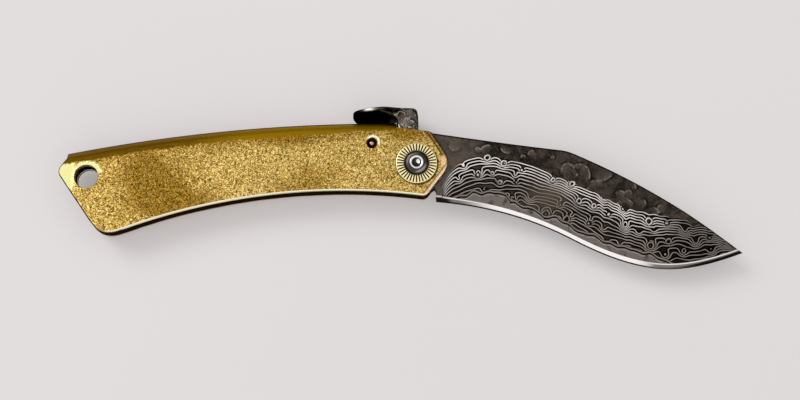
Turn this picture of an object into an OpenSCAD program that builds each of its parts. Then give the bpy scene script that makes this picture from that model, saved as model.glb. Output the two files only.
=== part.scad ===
// Folding pocket knife whose handle is one piece of brass sheet, folded along the spine.
// The blade turns on one peened rivet and is opened by the broad lever at its tang.
// It lies open on its side: +X runs to the blade tip, +Y to the spine, +Z up out of the face.

/* [Handle] */
// Length of the folded handle, butt to nose
handle_length = 99.2; // [94:0.2:106]
// Reach of the nose beyond the pivot axis
nose_reach = 8; // [7.8:0.1:9]
// Height of the spine above the pivot axis where it is highest
spine_rise = 11.3; // [10.9:0.1:11.7]
// How far behind the pivot the spine is highest
spine_peak_back = 7.5; // [5:0.5:14]
// Radius of the long bow of the spine
spine_bow_r = 410; // [350:5:470]
// Thickness of the brass sheet
sheet_t = 1.2; // [0.9:0.1:1.4]
// Depth of the open lips below the pivot axis where they are shallowest
lip_drop = 7; // [6.6:0.1:8]
// How far behind the pivot the lips are shallowest
lip_peak_back = 18.5; // [14:0.5:24]
// Radius of the long bow of the lips
lip_bow_r = 160; // [150:1:190]
// How far the butt slants in towards its lower corner
butt_slant = 11.3; // [8:0.1:12]
// Length over which the lower corner of the butt is rounded
butt_corner = 5.3; // [2:0.1:6]
// Length of the fold that is trimmed away at the butt
butt_trim = 2; // [1.8:0.1:3]

/* [Lanyard hole] */
// Diameter of the lanyard hole
lanyard_d = 6; // [4:0.1:6.2]
// Distance of the hole's centre from the end of the butt
lanyard_inset = 7.1; // [6.6:0.1:10]
// Distance of the hole's centre below the top of the spine
lanyard_drop = 7.6; // [7:0.1:9]

/* [Blade] */
// Thickness of the forged blank at the tang
blade_t = 3.6; // [3:0.1:4]
// Thickness of the blank at the tip, before it is ground
tip_t = 2.2; // [1.8:0.1:2.8]
// Reach of the tip beyond the pivot axis
blade_reach = 82.9; // [78:0.1:86]
// Drop of the tip below the pivot axis
tip_drop = 22.6; // [21.5:0.1:23.4]
// Reach of the lowest part of the belly beyond the pivot axis
belly_reach = 64; // [61:0.5:66]
// Drop of the belly below the pivot axis
belly_drop = 26.8; // [26:0.1:28.5]
// Reach of the place where the hollow edge turns into the belly
turn_reach = 39.6; // [37:0.1:42]
// Drop of that place below the pivot axis
turn_drop = 19.2; // [18:0.1:20]
// Reach of the heel beyond the pivot axis
heel_reach = 5.1; // [4.8:0.1:6]
// Drop of the heel below the pivot axis
heel_drop = 9.4; // [9:0.1:10.4]
// Reach of the hump of the back beyond the pivot axis
hump_reach = 38.6; // [35:0.1:42]
// Height of the hump above the pivot axis
hump_rise = 3.9; // [3:0.1:5]
// Height of the back above the pivot axis, where it meets the lever
back_rise = 9; // [8.2:0.1:9.4]
// Height of the ground face above the cutting edge
grind_height = 14.2; // [11:0.1:15]
// Length over which the grind sweeps up from the heel
plunge_length = 14; // [9:0.5:18]
// Height of the polished edge bevel
edge_bevel = 1.4; // [1:0.1:2]
// Thickness of the steel where the edge bevel begins
bevel_t = 0.5; // [0.4:0.05:0.8]
// Thickness left at the cutting edge
edge_t = 0.1; // [0.06:0.02:0.16]
// Radius of the round tang inside the handle
tang_r = 7.6; // [7:0.1:8.2]
// Radius of the notch between the tang and the heel
notch_r = 0.6; // [0.4:0.1:0.8]

/* [Lever] */
// Width of the neck where it leaves the handle
neck_w = 5.6; // [4.6:0.1:6.2]
// Reach of the neck's front edge beyond the pivot axis
neck_front = 0.6; // [0:0.1:1.2]
// Height of the top of the lever above the pivot axis
lever_rise = 15.3; // [14.8:0.1:17]
// Reach of the lever behind the pivot axis
lever_reach = 16.3; // [14:0.1:19]
// How far the pad falls from the neck to its end
pad_fall = 1.5; // [0.8:0.1:1.7]
// Width of the thumb pad
pad_w = 12; // [10:0.1:13]
// Thickness of the thumb pad
pad_t = 1.1; // [0.9:0.1:1.3]

/* [Pivot] */
// Diameter of the rivet's shank
rivet_d = 3; // [2.6:0.1:3.2]
// Diameter of the sunburst washers
sunburst_d = 10.6; // [9.6:0.1:12]
// Thickness of the sunburst washers
sunburst_t = 0.8; // [0.7:0.05:1]
// Number of rays on a sunburst washer
ray_count = 36; // [24:1:40]
// Width of the groove between two rays
ray_groove_w = 0.35; // [0.25:0.05:0.45]
// Depth of the groove between two rays
ray_groove_depth = 0.3; // [0.15:0.05:0.35]
// Width of the plain rim outside the rays
sunburst_rim = 0.25; // [0.15:0.05:0.4]
// Depth of the seat that the cup washer lies in
cup_seat = 0.25; // [0.1:0.05:0.35]
// Diameter of the steel cup washers
cup_d = 6.3; // [5.6:0.1:6.8]
// Height of the steel cup washers
cup_t = 1; // [0.8:0.1:1.3]
// Height of a cup washer at its outer edge
cup_edge_t = 0.35; // [0.25:0.05:0.5]
// Diameter of the rivet's peened head
head_d = 3.8; // [3.5:0.1:4.2]
// Height of the peened head above its cup washer
head_t = 0.35; // [0.2:0.05:0.5]
// Diameter of the dimple punched into the rivet's end
dimple_d = 2.5; // [2:0.1:2.7]
// Depth of that dimple
dimple_depth = 0.6; // [0.3:0.05:0.8]

/* [Stop pin] */
// Diameter of the stop pin in the front wall
stop_pin_d = 1.4; // [1:0.1:1.6]
// How far behind the pivot axis the pin sits
stop_pin_back = 11.4; // [11.2:0.1:13]
// Height of the pin above the pivot axis
stop_pin_rise = 5.4; // [5:0.1:5.8]
// How far the pin's inner end reaches into the channel, to meet the ground heel of the shut blade
stop_pin_reach = 1.2; // [0.3:0.05:1.3]
// Diameter of the countersink round the pin
stop_sink_d = 2.8; // [2.2:0.1:3]
// Depth of that countersink
stop_sink_depth = 0.4; // [0.2:0.05:0.6]

/* [Clearances] */
// Gap between the blank and each wall of the handle
side_gap = 0.1; // [0.06:0.01:0.16]
// Radial running gap of the blade on the rivet
pivot_gap = 0.04; // [0.02:0.01:0.08]
// Gap where one fixed piece is fitted in another
seat_gap = 0.02; // [0.01:0.01:0.05]
// Gap between the neck and the end of its slot when the blade is open
slot_gap = 0.15; // [0.1:0.05:0.3]

/* [Hidden] */
$fn = 96;

BRASS = "#b8912f";
PALE_BRASS = "#dcbf6a";
DARK_STEEL = "#4a4745";
BRIGHT_STEEL = "#8d8a88";

// Steps along a rounded corner and along a long curve
corner_steps = 8;
long_steps = 28;
plunge_steps = 9;
// Fineness of a circle as large as the bow of the spine
bow_fn = 1440;
// A length that reaches past any piece, and one that lifts a cutter clear of a face
beyond = 40;
clear = 0.6;

// Half thicknesses, measured from the middle plane of the blade
channel_half = blade_t / 2 + side_gap;
handle_half = channel_half + sheet_t;
cup_foot = handle_half + sunburst_t - cup_seat;
cup_top = cup_foot + cup_t;
rivet_half = cup_top + head_t;

// The walls beside the lever stay flat: how far below the spine they end, and the length the fold takes to end
wall_drop = 1.7;
fold_run_out = 0.8;

// Places along the handle
butt_x = nose_reach - handle_length;
fold_end_x = butt_x + butt_trim;
slot_x = neck_front - neck_w - slot_gap;
wall_top = spine_y(slot_x) - wall_drop;
lanyard_x = butt_x + lanyard_inset;

// Corners of the nose before they are rounded: shoulder, tip and chin, and how far each is rounded
shoulder_ahead = 3.4;
shoulder_fall = 2.8;
tip_ahead = 1.1;
tip_rise = 0.5;
chin_ahead = 1.8;
shoulder_round = 1.3;
tip_round = 4;
chin_round = 1.3;
nose_shoulder = [neck_front + shoulder_ahead, spine_rise - shoulder_fall];
nose_tip = [nose_reach + tip_ahead, tip_rise];
nose_chin = [neck_front + chin_ahead, lip_y(neck_front + chin_ahead)];

// The butt's upper corner before it is rounded, and the depth to which the trimmed fold is cut down there
butt_head_drop = 4.7;
butt_head_ahead = 0.6;
butt_head_round = 2;
fold_end_depth = 1.8;

// The lever: lean and rounding of its front corner, where its top begins to fall,
// and the throat where the underside of the pad curves down into the neck
lever_front_drop = 3;
lever_lean = 0.5;
lever_round = 2.2;
top_bend = 5.4;
throat_reach = 4.4;
throat_lean = 0.6;
throat_drop = 1.1;
neck_foot = 0.3;

// The thumb pad seen from above: where it begins to widen, where it is full width, and how square its end is
pad_root = 3.4;
pad_shoulder = 9.4;
pad_squareness = 3.8;

// The tang's front corner, the rounding of the heel and the place of the notch before it
tang_corner_angle = 52;
heel_round = 0.5;
notch_back = 0.5;
notch_rise = 0.6;

// The washers: height of a sunburst's edge and fall of its rim, the ring inside its rays,
// and a cup washer's shoulder, in from its edge and below its top, and the flat round its countersink
sunburst_edge = 0.36;
sunburst_fall = 0.12;
ray_ring = 0.12;
cup_shoulder = [0.3, 0.15];
cup_flat = 0.2;

// Slopes of the blade's edge and back at their named places, and the rounding of the hump
heel_slope = -0.08;
turn_slope = -0.53;
tip_edge_slope = 0.37;
tang_back_slope = -0.15;
hump_slopes = [-0.11, -0.42];
tip_back_slope = -0.8;
taper_from = 14;
hump_round = 1.6;

// Where the grind has hardly begun, its cutter leaves the flat at this slope
shallow_plunge = 0.05;
heel_lift = 1.5;

edge_line = [
    [heel_reach, -heel_drop, heel_slope], [turn_reach, -turn_drop, turn_slope],
    [belly_reach, -belly_drop, 0], [blade_reach, -tip_drop, tip_edge_slope]
];
rear_back_line = [
    [neck_front, back_rise, tang_back_slope], [hump_reach, hump_rise, hump_slopes[0]]
];
front_back_line = [
    [hump_reach, hump_rise, hump_slopes[1]], [blade_reach, -tip_drop, tip_back_slope]
];

// The whole knife's box, to set its origin below the middle
x_span = [butt_x, blade_reach];
y_span = [-belly_drop, lever_rise];
stand = max(pad_w / 2, rivet_half);
pivot_pos = [-(x_span[0] + x_span[1]) / 2, -(y_span[0] + y_span[1]) / 2, stand];
echo(pivot_pos = pivot_pos, lanyard = pivot_pos + [lanyard_x, spine_y(lanyard_x) - lanyard_drop, 0]);

// Height of the spine's top and of the lips at x
function spine_y(x) = spine_rise - spine_bow_r + sqrt(pow(spine_bow_r, 2) - pow(x + spine_peak_back, 2));
function lip_y(x) = -lip_drop - lip_bow_r + sqrt(pow(lip_bow_r, 2) - pow(x + lip_peak_back, 2));

function unit(v) = v / norm(v);

// Points of the curve from a to c that leans towards b
function bend(a, b, c, steps = corner_steps) = [
    for (i = [0:steps]) let (t = i / steps) pow(1 - t, 2) * a + 2 * t * (1 - t) * b + t * t * c
];

// The corner b between a and c, rounded off over the length d on either side
function rounded(a, b, c, d) = bend(b + d * unit(a - b), b, b + d * unit(c - b));

// Height at x of the curve through two stations [x, y, slope]
function between(a, b, x) =
    let (span = b[0] - a[0], t = (x - a[0]) / span, s = 1 - t)
    s * s * (1 + 2 * t) * a[1] + t * t * (3 - 2 * t) * b[1] + s * t * span * (s * a[2] - t * b[2]);

// Height of the cutting edge at x
function edge_y(x) =
    x < turn_reach ? between(edge_line[0], edge_line[1], x) :
    x < belly_reach ? between(edge_line[1], edge_line[2], x) :
    between(edge_line[2], edge_line[3], x);

// Height of the blade's back at x
function back_y(x) =
    x < hump_reach ? between(rear_back_line[0], rear_back_line[1], x) :
    between(front_back_line[0], front_back_line[1], x);

// Half thickness of the forged blank at x, with its taper to the tip
function blank_half(x) =
    (blade_t - max(0, x - taper_from) / (blade_reach - taper_from) * (blade_t - tip_t)) / 2;

// How much of its full height the grind has reached at x, from 0 at the heel to 1
function plunge(x) =
    let (u = min(1, max(0, (x - heel_reach - edge_bevel) / plunge_length))) sqrt(1 - pow(1 - u, 2));

function evenly(from, to, steps) = [for (i = [0:steps]) from + (to - from) * i / steps];
function reversed(list) = [for (i = [len(list) - 1:-1:0]) list[i]];

// Moves what is drawn round the pivot to its place above the origin
module at_pivot() {
    translate(pivot_pos) children();
}

// The U section, drawn with the fold outwards at the bow's radius
module channel_section() {
    fold_r = spine_bow_r - handle_half;
    difference() {
        union() {
            translate([fold_r, 0]) circle(handle_half);
            translate([fold_r - beyond, -handle_half]) square([beyond, 2 * handle_half]);
        }
        translate([fold_r, 0]) circle(channel_half);
        translate([fold_r - 2 * beyond, -channel_half]) square([2 * beyond, 2 * channel_half]);
    }
}

// Side view of the handle: slot, nose, lips and butt, left open above the fold
module handle_outline() {
    corner_x = butt_x + butt_slant;
    butt_foot = [corner_x, lip_y(corner_x)];
    butt_head = [butt_x - butt_head_ahead, spine_y(butt_x) - butt_head_drop];
    fold_end = [fold_end_x, spine_y(fold_end_x) - fold_end_depth];
    above = spine_rise + sheet_t;
    wall_end = [slot_x + fold_run_out, wall_top];
    along_lip = unit([1, lip_y(corner_x + 1) - lip_y(corner_x)]);
    polygon(concat(
        [[slot_x, above]],
        bend([slot_x, spine_rise], [slot_x, wall_top], wall_end),
        rounded(wall_end, nose_shoulder, nose_tip, shoulder_round),
        rounded(nose_shoulder, nose_tip, nose_chin, tip_round),
        rounded(nose_tip, nose_chin, [0, lip_y(0)], chin_round),
        [for (x = evenly(nose_chin[0] - chin_round - clear, corner_x + butt_corner + clear, long_steps))
            [x, lip_y(x)]],
        rounded(butt_foot + along_lip, butt_foot, butt_head, butt_corner),
        rounded(butt_foot, butt_head, fold_end, butt_head_round),
        [fold_end, [fold_end_x, above]]
    ));
}

// Walls beside the lever, flat up to their top where the fold is cut away
module nose_walls() {
    for (side = [0, 1]) mirror([0, 0, side])
        translate([slot_x, 0, channel_half]) cube([beyond, wall_top, sheet_t]);
}

// Folded brass channel with the lever's slot, lanyard hole and rivet holes
module handle_shell() {
    turn_from = 90 - asin((nose_reach + spine_peak_back) / spine_bow_r) - 2;
    turn_to = 90 + asin((-butt_x - spine_peak_back) / spine_bow_r) + 2;
    color(BRASS) at_pivot() difference() {
        intersection() {
            union() {
                translate([-spine_peak_back, spine_rise - spine_bow_r, 0])
                    rotate_extrude(start = turn_from, angle = turn_to - turn_from, $fn = bow_fn)
                        channel_section();
                nose_walls();
            }
            linear_extrude(4 * handle_half, center = true) handle_outline();
        }
        translate([slot_x, 0, -channel_half]) cube([beyond, beyond, 2 * channel_half]);
        cylinder(d = rivet_d + 2 * seat_gap, h = beyond, center = true);
        translate([lanyard_x, spine_y(lanyard_x) - lanyard_drop, 0])
            cylinder(d = lanyard_d, h = beyond, center = true);
        translate([-stop_pin_back, stop_pin_rise, 0]) {
            cylinder(d = stop_pin_d + 2 * seat_gap, h = beyond);
            translate([0, 0, handle_half - stop_sink_depth])
                cylinder(d1 = stop_pin_d + 2 * seat_gap, d2 = stop_sink_d, h = stop_sink_depth);
        }
    }
}

// Side view of the lever, from the back of the blade round to the tang
function lever_outline() =
    let (
        neck_back = neck_front - neck_w,
        pad_end = lever_reach - pad_t / 2,
        pad_top = lever_rise - pad_fall
    )
    concat(
        rounded([neck_front, lever_rise - lever_front_drop], [neck_front - lever_lean, lever_rise],
                [-top_bend, lever_rise], lever_round),
        bend([neck_front - lever_lean - lever_round - clear, lever_rise],
             [neck_front - top_bend, lever_rise], [-pad_end, pad_top]),
        bend([-pad_end, pad_top], [-lever_reach - pad_t / 2, pad_top - pad_t / 2], [-pad_end, pad_top - pad_t]),
        bend([neck_back - throat_reach, lever_rise - pad_fall / 2 - pad_t],
             [neck_back - throat_lean, lever_rise - pad_t - throat_drop],
             [neck_back, spine_y(neck_back) + neck_foot]),
        [[neck_back, tang_r / 2]]
    );

// Side view of the whole blank except the round of the tang
module blank_outline() {
    tang_corner = tang_r * [cos(tang_corner_angle), -sin(tang_corner_angle)];
    heel = [heel_reach, edge_y(heel_reach)];
    hump = [hump_reach, hump_rise];
    polygon(concat(
        [tang_corner],
        rounded(tang_corner, heel, [heel_reach + 1, edge_y(heel_reach + 1)], heel_round),
        [for (x = evenly(heel_reach + 1, blade_reach, 2 * long_steps)) [x, edge_y(x)]],
        [for (x = evenly(blade_reach - 1, hump_reach + hump_round, long_steps)) [x, back_y(x)]],
        bend([hump_reach + hump_round, back_y(hump_reach + hump_round)], hump,
             [hump_reach - hump_round, back_y(hump_reach - hump_round)]),
        [for (x = evenly(hump_reach - 2 * hump_round, neck_front, corner_steps)) [x, back_y(x)]],
        lever_outline()
    ));
}

// Top view of the thumb pad: it flares from the neck in an S and ends in a quarter of a squared ellipse a side
module pad_outline() {
    side = concat(
        [for (t = evenly(0, 1, 2 * corner_steps))
            [-pad_root - t * (pad_shoulder - pad_root), (blade_t + t * t * (3 - 2 * t) * (pad_w - blade_t)) / 2]],
        [for (a = evenly(90 / corner_steps / 2, 90, 2 * corner_steps))
            [-pad_shoulder - (lever_reach - pad_shoulder) * pow(sin(a), 2 / pad_squareness),
             pad_w / 2 * pow(max(0, cos(a)), 2 / pad_squareness)]]
    );
    polygon(concat(side, [for (p = reversed(side)) if (p[1] > 0) [p[0], -p[1]]]));
}

// What the grindstone takes off one face, up to the line where the flat begins
module grind_cutter() {
    stations = concat(
        [heel_reach - clear],
        [for (a = evenly(0, 81, plunge_steps)) heel_reach + edge_bevel + plunge_length * (1 - cos(a))],
        evenly(heel_reach + edge_bevel + plunge_length, blade_reach + clear, long_steps)
    );
    ring = [for (x = stations)
        let (
            reach = plunge(x),
            low = edge_y(x),
            foot = low + edge_bevel,
            top = foot + reach * (grind_height - edge_bevel),
            foot_z = bevel_t / 2 + (blank_half(x) - bevel_t / 2) * pow(1 - reach, 2),
            lift = reach > shallow_plunge ? (blank_half(x) - foot_z) / (top - foot) : heel_lift
        )
        [
            [x, top + clear, blank_half(x) + clear * lift], [x, foot, foot_z],
            [x, low, edge_t / 2], [x, low - beyond / 4, edge_t / 2],
            [x, low - beyond / 4, beyond / 4], [x, top + clear, beyond / 4]
        ]
    ];
    count = len(ring[0]);
    last = len(ring) - 1;
    polyhedron(
        points = [for (r = ring) for (p = r) p],
        faces = concat(
            [[for (k = [0:count - 1]) count - 1 - k]],
            [[for (k = [0:count - 1]) last * count + k]],
            [for (i = [0:last - 1]) for (k = [0:count - 1]) for (half = [0, 1])
                let (a = i * count + k, b = i * count + (k + 1) % count)
                half == 0 ? [a, b, b + count] : [a, b + count, a + count]]
        )
    );
}

// What the forging draws off one face from the tang to the tip
module taper_cutter() {
    rotate([90, 0, 0]) linear_extrude(4 * beyond, center = true) polygon([
        [taper_from, blade_t / 2], [blade_reach + 5, blank_half(blade_reach + 5)],
        [blade_reach + 5, blade_t], [taper_from, blade_t]
    ]);
}

// Forged blade, tang and lever in one piece
module blade() {
    color(DARK_STEEL) at_pivot() difference() {
        union() {
            linear_extrude(blade_t, center = true) blank_outline();
            cylinder(r = tang_r, h = blade_t, center = true);
            intersection() {
                linear_extrude(pad_w, center = true) polygon(lever_outline());
                translate([0, spine_rise, 0]) rotate([-90, 0, 0]) linear_extrude(beyond) pad_outline();
            }
        }
        for (side = [0, 1]) mirror([0, 0, side]) {
            grind_cutter();
            taper_cutter();
        }
        cylinder(d = rivet_d + 2 * pivot_gap, h = beyond, center = true);
        translate([heel_reach - notch_back, notch_rise - tang_r, 0])
            cylinder(r = notch_r, h = beyond, center = true);
    }
}

// Rivet peened at both ends, with a dimple in each head
module pivot_rivet() {
    shank = rivet_d / 2;
    head = head_d / 2;
    dimple = dimple_d / 2;
    shoulder = cup_top - (head - shank);
    end = concat(
        [[shank, shoulder], [head, cup_top]],
        bend([head, cup_top], [head, rivet_half], [(head + dimple) / 2, rivet_half]),
        bend([(head + dimple) / 2, rivet_half], [dimple, rivet_half], [dimple * 0.8, rivet_half - dimple_depth / 2]),
        bend([dimple * 0.8, rivet_half - dimple_depth / 2], [dimple / 2, rivet_half - dimple_depth],
             [0, rivet_half - dimple_depth])
    );
    color(BRIGHT_STEEL) at_pivot() rotate_extrude()
        polygon(concat(end, [for (p = reversed(end)) [p[0], -p[1]]]));
}

// Brass washer with radial grooves, lying against the face of the handle at z = 0
module sunburst_washer() {
    outer = sunburst_d / 2;
    seat = cup_d / 2 + seat_gap;
    ray_from = seat + ray_ring;
    ray_to = outer - sunburst_rim;
    rim_top = sunburst_t - sunburst_fall;
    color(PALE_BRASS) difference() {
        rotate_extrude() polygon(concat(
            [[rivet_d / 2 + seat_gap, 0], [outer, 0]],
            bend([outer, sunburst_edge], [outer, rim_top], [ray_to, rim_top]),
            [[seat, sunburst_t], [seat, sunburst_t - cup_seat],
             [rivet_d / 2 + seat_gap, sunburst_t - cup_seat]]
        ));
        for (i = [0:ray_count - 1]) rotate(i * 360 / ray_count)
            translate([ray_from, -ray_groove_w / 2, sunburst_t - ray_groove_depth])
                cube([ray_to - ray_from, ray_groove_w, sunburst_t]);
    }
}

// Steel washer, domed up to a countersink that takes the rivet's head, standing on z = 0
module cup_washer() {
    bore = rivet_d / 2 + seat_gap;
    sink = head_d / 2 + seat_gap;
    outer = cup_d / 2;
    color(DARK_STEEL) rotate_extrude() polygon(concat(
        [[bore, 0], [outer, 0]],
        bend([outer, cup_edge_t], [outer, cup_t] - cup_shoulder, [sink + cup_flat, cup_t]),
        [[sink, cup_t], [bore, cup_t - (sink - bore)]]
    ));
}

module front_sunburst_washer() {
    at_pivot() translate([0, 0, handle_half]) sunburst_washer();
}

module rear_sunburst_washer() {
    at_pivot() mirror([0, 0, 1]) translate([0, 0, handle_half]) sunburst_washer();
}

module front_cup_washer() {
    at_pivot() translate([0, 0, cup_foot]) cup_washer();
}

module rear_cup_washer() {
    at_pivot() mirror([0, 0, 1]) translate([0, 0, cup_foot]) cup_washer();
}

// Short pin pressed through the front wall, its domed end sunk below the face
module stop_pin() {
    r = stop_pin_d / 2;
    foot = channel_half - stop_pin_reach;
    top = handle_half - stop_sink_depth;
    crown = top + 0.6 * stop_sink_depth;
    color(BRIGHT_STEEL) at_pivot() translate([-stop_pin_back, stop_pin_rise, 0]) rotate_extrude()
        polygon(concat([[0, foot], [r, foot]], bend([r, top], [0.8 * r, crown], [0, crown])));
}

handle_shell();
blade();
pivot_rivet();
front_sunburst_washer();
rear_sunburst_washer();
front_cup_washer();
rear_cup_washer();
stop_pin();
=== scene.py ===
import math

import bmesh
import bpy
import numpy as np
from mathutils import Matrix, Vector

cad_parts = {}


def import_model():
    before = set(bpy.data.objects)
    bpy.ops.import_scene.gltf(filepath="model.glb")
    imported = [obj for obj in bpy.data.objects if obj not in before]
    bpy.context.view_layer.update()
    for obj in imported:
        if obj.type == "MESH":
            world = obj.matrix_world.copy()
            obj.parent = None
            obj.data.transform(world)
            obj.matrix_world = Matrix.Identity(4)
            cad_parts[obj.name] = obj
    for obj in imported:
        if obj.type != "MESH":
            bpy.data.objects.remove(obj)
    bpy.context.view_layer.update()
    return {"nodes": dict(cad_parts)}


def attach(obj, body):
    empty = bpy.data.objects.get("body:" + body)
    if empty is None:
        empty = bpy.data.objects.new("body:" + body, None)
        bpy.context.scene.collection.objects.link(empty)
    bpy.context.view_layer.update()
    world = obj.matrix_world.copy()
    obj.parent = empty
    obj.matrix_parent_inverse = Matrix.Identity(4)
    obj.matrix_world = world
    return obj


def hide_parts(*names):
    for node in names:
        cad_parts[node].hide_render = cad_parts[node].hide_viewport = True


# Friction folding knife: a handle folded from brass sheet, a forged and ground blade, one peened rivet.
# Sizes are in millimetres from the pivot axis and the middle plane of the blade, as the CAD source
# draws them; place() turns them into metres in the frame.

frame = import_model()
print("frame loaded:", len(frame["nodes"]), "CAD nodes")

mm = 0.001
pivotPlace = np.array([4.15, 5.75, 6.0])  # the pivot in the frame, in millimetres


def place(points):
    # frame metres = (point + pivot) / 1000
    return (np.asarray(points, float) + pivotPlace) * mm


def tone(red, green, blue):
    # a screen colour, 0 to 255, as the linear colour that renders so under a light of strength 1
    c = np.array([red, green, blue]) / 255
    linear = np.where(c <= 0.04045, c / 12.92, ((c + 0.055) / 1.055) ** 2.4)
    return (*linear.tolist(), 1.0)


# Node trees

def operator(kind):
    # the Math node of an operator, and the same with its sides swapped for the reflected form
    return (lambda a, b: a.graph.math(kind, a, b)), (lambda a, b: a.graph.math(kind, b, a))


class Wire:
    # one value in a node tree; an expression on it adds Math nodes
    def __init__(self, graph, socket):
        self.graph, self.socket = graph, socket

    __add__, __radd__ = operator("ADD")
    __sub__, __rsub__ = operator("SUBTRACT")
    __mul__, __rmul__ = operator("MULTIPLY")
    __truediv__, __rtruediv__ = operator("DIVIDE")

    def __neg__(self): return self * -1.0
    def __abs__(self): return self.graph.math("ABSOLUTE", self)


class Graph:
    # a node tree being built: Math nodes come from math(), every other node from node()
    def __init__(self, tree):
        self.tree = tree
        tree.nodes.clear()

    def node(self, kind, inputs, output=0, **settings):
        made = self.tree.nodes.new("ShaderNode" + kind)
        for name, value in settings.items():
            setattr(made, name, value)
        for key, value in inputs.items():
            if isinstance(value, Wire):
                self.tree.links.new(value.socket, made.inputs[key])
            else:
                made.inputs[key].default_value = value
        if isinstance(output, tuple):
            return [Wire(self, made.outputs[i]) for i in output]
        return Wire(self, made.outputs[output]) if len(made.outputs) else None

    def math(self, operation, a, b=0.0):
        return self.node("Math", {0: a, 1: b}, operation=operation)

    def larger(self, a, b): return self.math("MAXIMUM", a, b)
    def smaller(self, a, b): return self.math("MINIMUM", a, b)
    def fraction(self, a): return self.math("FRACT", a)
    def length2(self, a, b): return self.math("SQRT", a * a + b * b)
    def bell(self, a): return self.math("EXPONENT", -(a * a))

    def spread(self, x, y, middle, half):
        # 0 in the middle of an oval place, 1 at its rim
        return self.length2((x - middle[0]) / half[0], (y - middle[1]) / half[1])

    def rise(self, value, low, high):
        # 0 below low, 1 above high, smooth between; it falls instead where low is above high
        return self.node("MapRange", {"Value": value, "From Min": low, "From Max": high},
                         interpolation_type="SMOOTHSTEP")

    def mix(self, share, a, b):
        return self.node("Mix", {0: share, 6: a, 7: b}, 2, data_type="RGBA")

    def over(self, colour, look, layers):
        # lays tones over a colour, one after another, each by its own share; any may be a name in the look
        for share, tint in layers:
            colour, tint = (look[c] if isinstance(c, str) else c for c in (colour, tint))
            colour = self.mix(share, colour, tint)
        return colour

    def joined(self, x, y, z=0.0):
        return self.node("CombineXYZ", {0: x, 1: y, 2: z})

    def split(self, vector):
        return self.node("SeparateXYZ", {0: vector}, (0, 1, 2))

    def noise(self, vector, scale, detail=2.0, roughness=0.5, distortion=0.0):
        return self.node("TexNoise", {"Vector": vector, "Scale": scale, "Detail": detail,
                                      "Roughness": roughness, "Distortion": distortion})

    def pivotSpace(self):
        # the surface point in millimetres from the pivot, as a vector and as x, y, z
        own = self.node("TexCoord", {}, 3)
        moved = self.node("VectorMath", {0: own, 1: tuple(pivotPlace * mm)}, operation="SUBTRACT")
        point = self.node("VectorMath", {0: moved, 3: 1 / mm}, operation="SCALE")
        return (point, *self.split(point))

    def attribute(self, name):
        return self.node("Attribute", {}, 2, attribute_name=name)

    def bump(self, height, depth):
        # height 0 to 1 stands for a depth in millimetres
        return self.node("Bump", {"Height": height, "Distance": depth * mm, "Strength": 1.0})

    def metal(self, colour, roughness, normal, edge=1.0):
        # edge is how much of the full grazing reflection is left, less than 1 where oxide or grime dulls it
        surface = self.node("BsdfPrincipled", {"Base Color": colour, "Roughness": roughness, "Metallic": 1.0,
                                               "Specular Tint": (edge, edge, edge, 1.0), "Normal": normal})
        self.node("OutputMaterial", {"Surface": surface})


def finish(build, sizes):
    # the material that a finish function makes, under that function's name
    material = bpy.data.materials.new(build.__name__)
    material.use_nodes = True
    build(Graph(material.node_tree), sizes)
    return material


# Meshes

def put(name, data):
    made = bpy.data.objects.new(name, data)
    bpy.context.scene.collection.objects.link(made)
    return made


def surfacePiece(name, points, faces, material, sharp, attributes):
    mesh = bpy.data.meshes.new(name)
    mesh.from_pydata(place(points).tolist(), [], faces)
    for key, values in attributes.items():
        layer = mesh.attributes.new(key, "FLOAT", "POINT")
        layer.data.foreach_set("value", np.asarray(values, np.float32).ravel())
    mesh.shade_smooth()
    mesh.set_sharp_from_angle(angle=math.radians(sharp))
    mesh.materials.append(material)
    return put(name, mesh)


def loopFaces(stations, around):
    # quads between neighbouring closed loops; point j of loop i has number i * around + j
    i, j = np.meshgrid(np.arange(stations - 1), np.arange(around), indexing="ij")
    a, b = i * around + j, i * around + (j + 1) % around
    return np.stack([a, b, b + around, a + around], -1).reshape(-1, 4).tolist()


def hermite(a, b, x):
    # height at x of the cubic through two stations (x, y, slope)
    span = b[0] - a[0]
    t = (x - a[0]) / span
    s = 1 - t
    return s * s * (1 + 2 * t) * a[1] + t * t * (3 - 2 * t) * b[1] + s * t * span * (s * a[2] - t * b[2])


def smoothStep(x, low, high):
    t = np.clip((x - low) / (high - low), 0, 1)
    return t * t * (3 - 2 * t)


def waves(x, y, seed, count, shortest, longest):
    # sum of count sine waves in random directions, wavelengths between shortest and longest, within -1 to 1
    rng = np.random.default_rng(seed)
    total = np.zeros(np.broadcast(x, y).shape)
    for length, turn, phase in zip(rng.uniform(shortest, longest, count),
                                   rng.uniform(0, 2 * math.pi, count), rng.uniform(0, 2 * math.pi, count)):
        total += np.sin(2 * math.pi / length * (x * math.cos(turn) + y * math.sin(turn)) + phase)
    return total / count


# Handle: the folded channel of the CAD node, with its cut edges broken

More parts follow.
